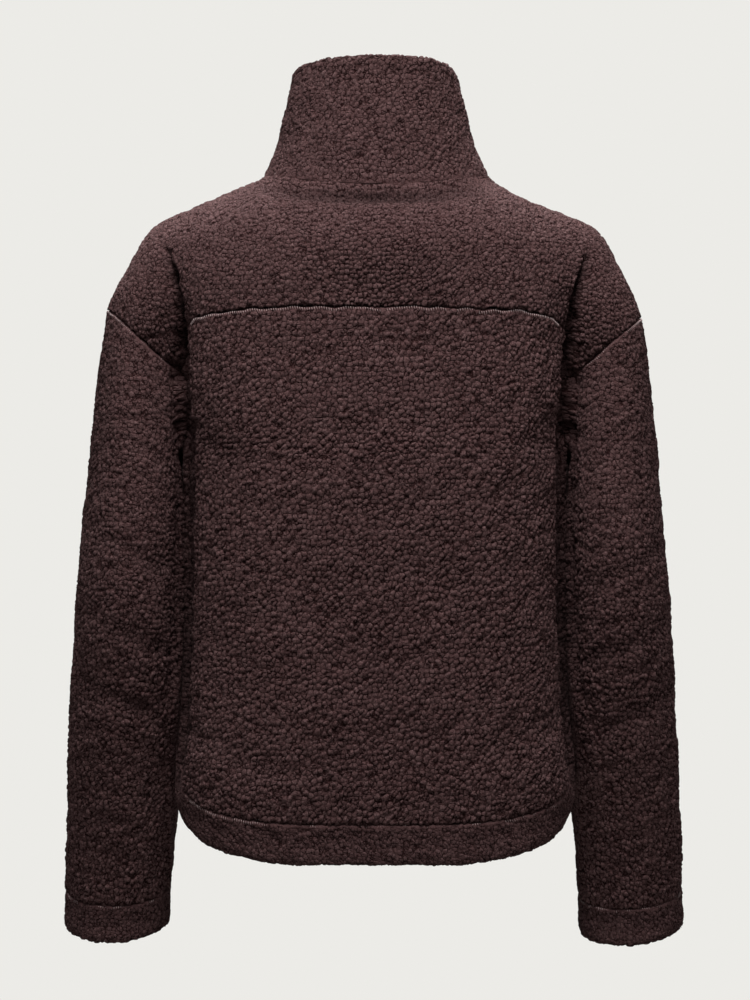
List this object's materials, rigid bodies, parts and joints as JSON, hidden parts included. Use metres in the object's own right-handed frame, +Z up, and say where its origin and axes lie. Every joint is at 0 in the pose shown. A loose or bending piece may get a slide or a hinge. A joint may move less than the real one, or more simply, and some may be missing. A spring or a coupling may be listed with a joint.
{
  "type": "teddy jacket",
  "caption": "Teddy fleece jacket with a high funnel collar, back yoke, dropped shoulders, banded hem and cuffs and a closed front zip, keeping its worn hollow form.",
  "frame": {"origin": "middle of the neck opening at the height where the shoulders start, where the wearer's shoulders hold the jacket up", "axes": "+Z up, +Y towards the jacket's front (its zip), +X towards the wearer's right; the picture looks along +Y at the back"},
  "size_m": [0.5424, 0.258, 0.7598],
  "materials": {
    "back_yoke": "curly teddy fleece",
    "back_panel": "curly teddy fleece",
    "front_left": "curly teddy fleece",
    "front_right": "curly teddy fleece",
    "collar": "curly teddy fleece",
    "sleeve_left": "curly teddy fleece",
    "sleeve_right": "curly teddy fleece",
    "cuff_left": "curly teddy fleece",
    "cuff_right": "curly teddy fleece",
    "hem_band_back": "curly teddy fleece",
    "hem_band_left": "curly teddy fleece",
    "hem_band_right": "curly teddy fleece",
    "zip_tape_left": "woven zip tape",
    "zip_tape_right": "woven zip tape",
    "zip_teeth": "dark satin metal",
    "zip_retainer": "dark satin metal",
    "zip_top_stop_left": "dark satin metal",
    "zip_top_stop_right": "dark satin metal",
    "zip_slider": "dark satin metal",
    "zip_pull": "dark satin metal"
  },
  "bodies": {
    "jacket": {"back_yoke": "back_yoke", "back_panel": "back_panel", "front_left": "front_left", "front_right": "front_right", "collar": "collar", "sleeve_left": "sleeve_left", "sleeve_right": "sleeve_right", "cuff_left": "cuff_left", "cuff_right": "cuff_right", "hem_band_back": "hem_band_back", "hem_band_left": "hem_band_left", "hem_band_right": "hem_band_right", "zip_tape_left": "zip_tape_left", "zip_tape_right": "zip_tape_right", "zip_teeth": "zip_teeth", "zip_retainer": "zip_retainer", "zip_top_stop_left": "zip_top_stop_left", "zip_top_stop_right": "zip_top_stop_right", "zip_slider": "zip_slider"},
    "zip_pull": {"zip_pull": "zip_pull"}
  },
  "joints": [
    {"name": "zip_pull_swing", "type": "hinge", "parent": "jacket", "child": "zip_pull", "pos_m": [0, 0.07275, 0.04365], "axis": [1, 0, 0], "range_deg": [0, 150]}
  ]
}
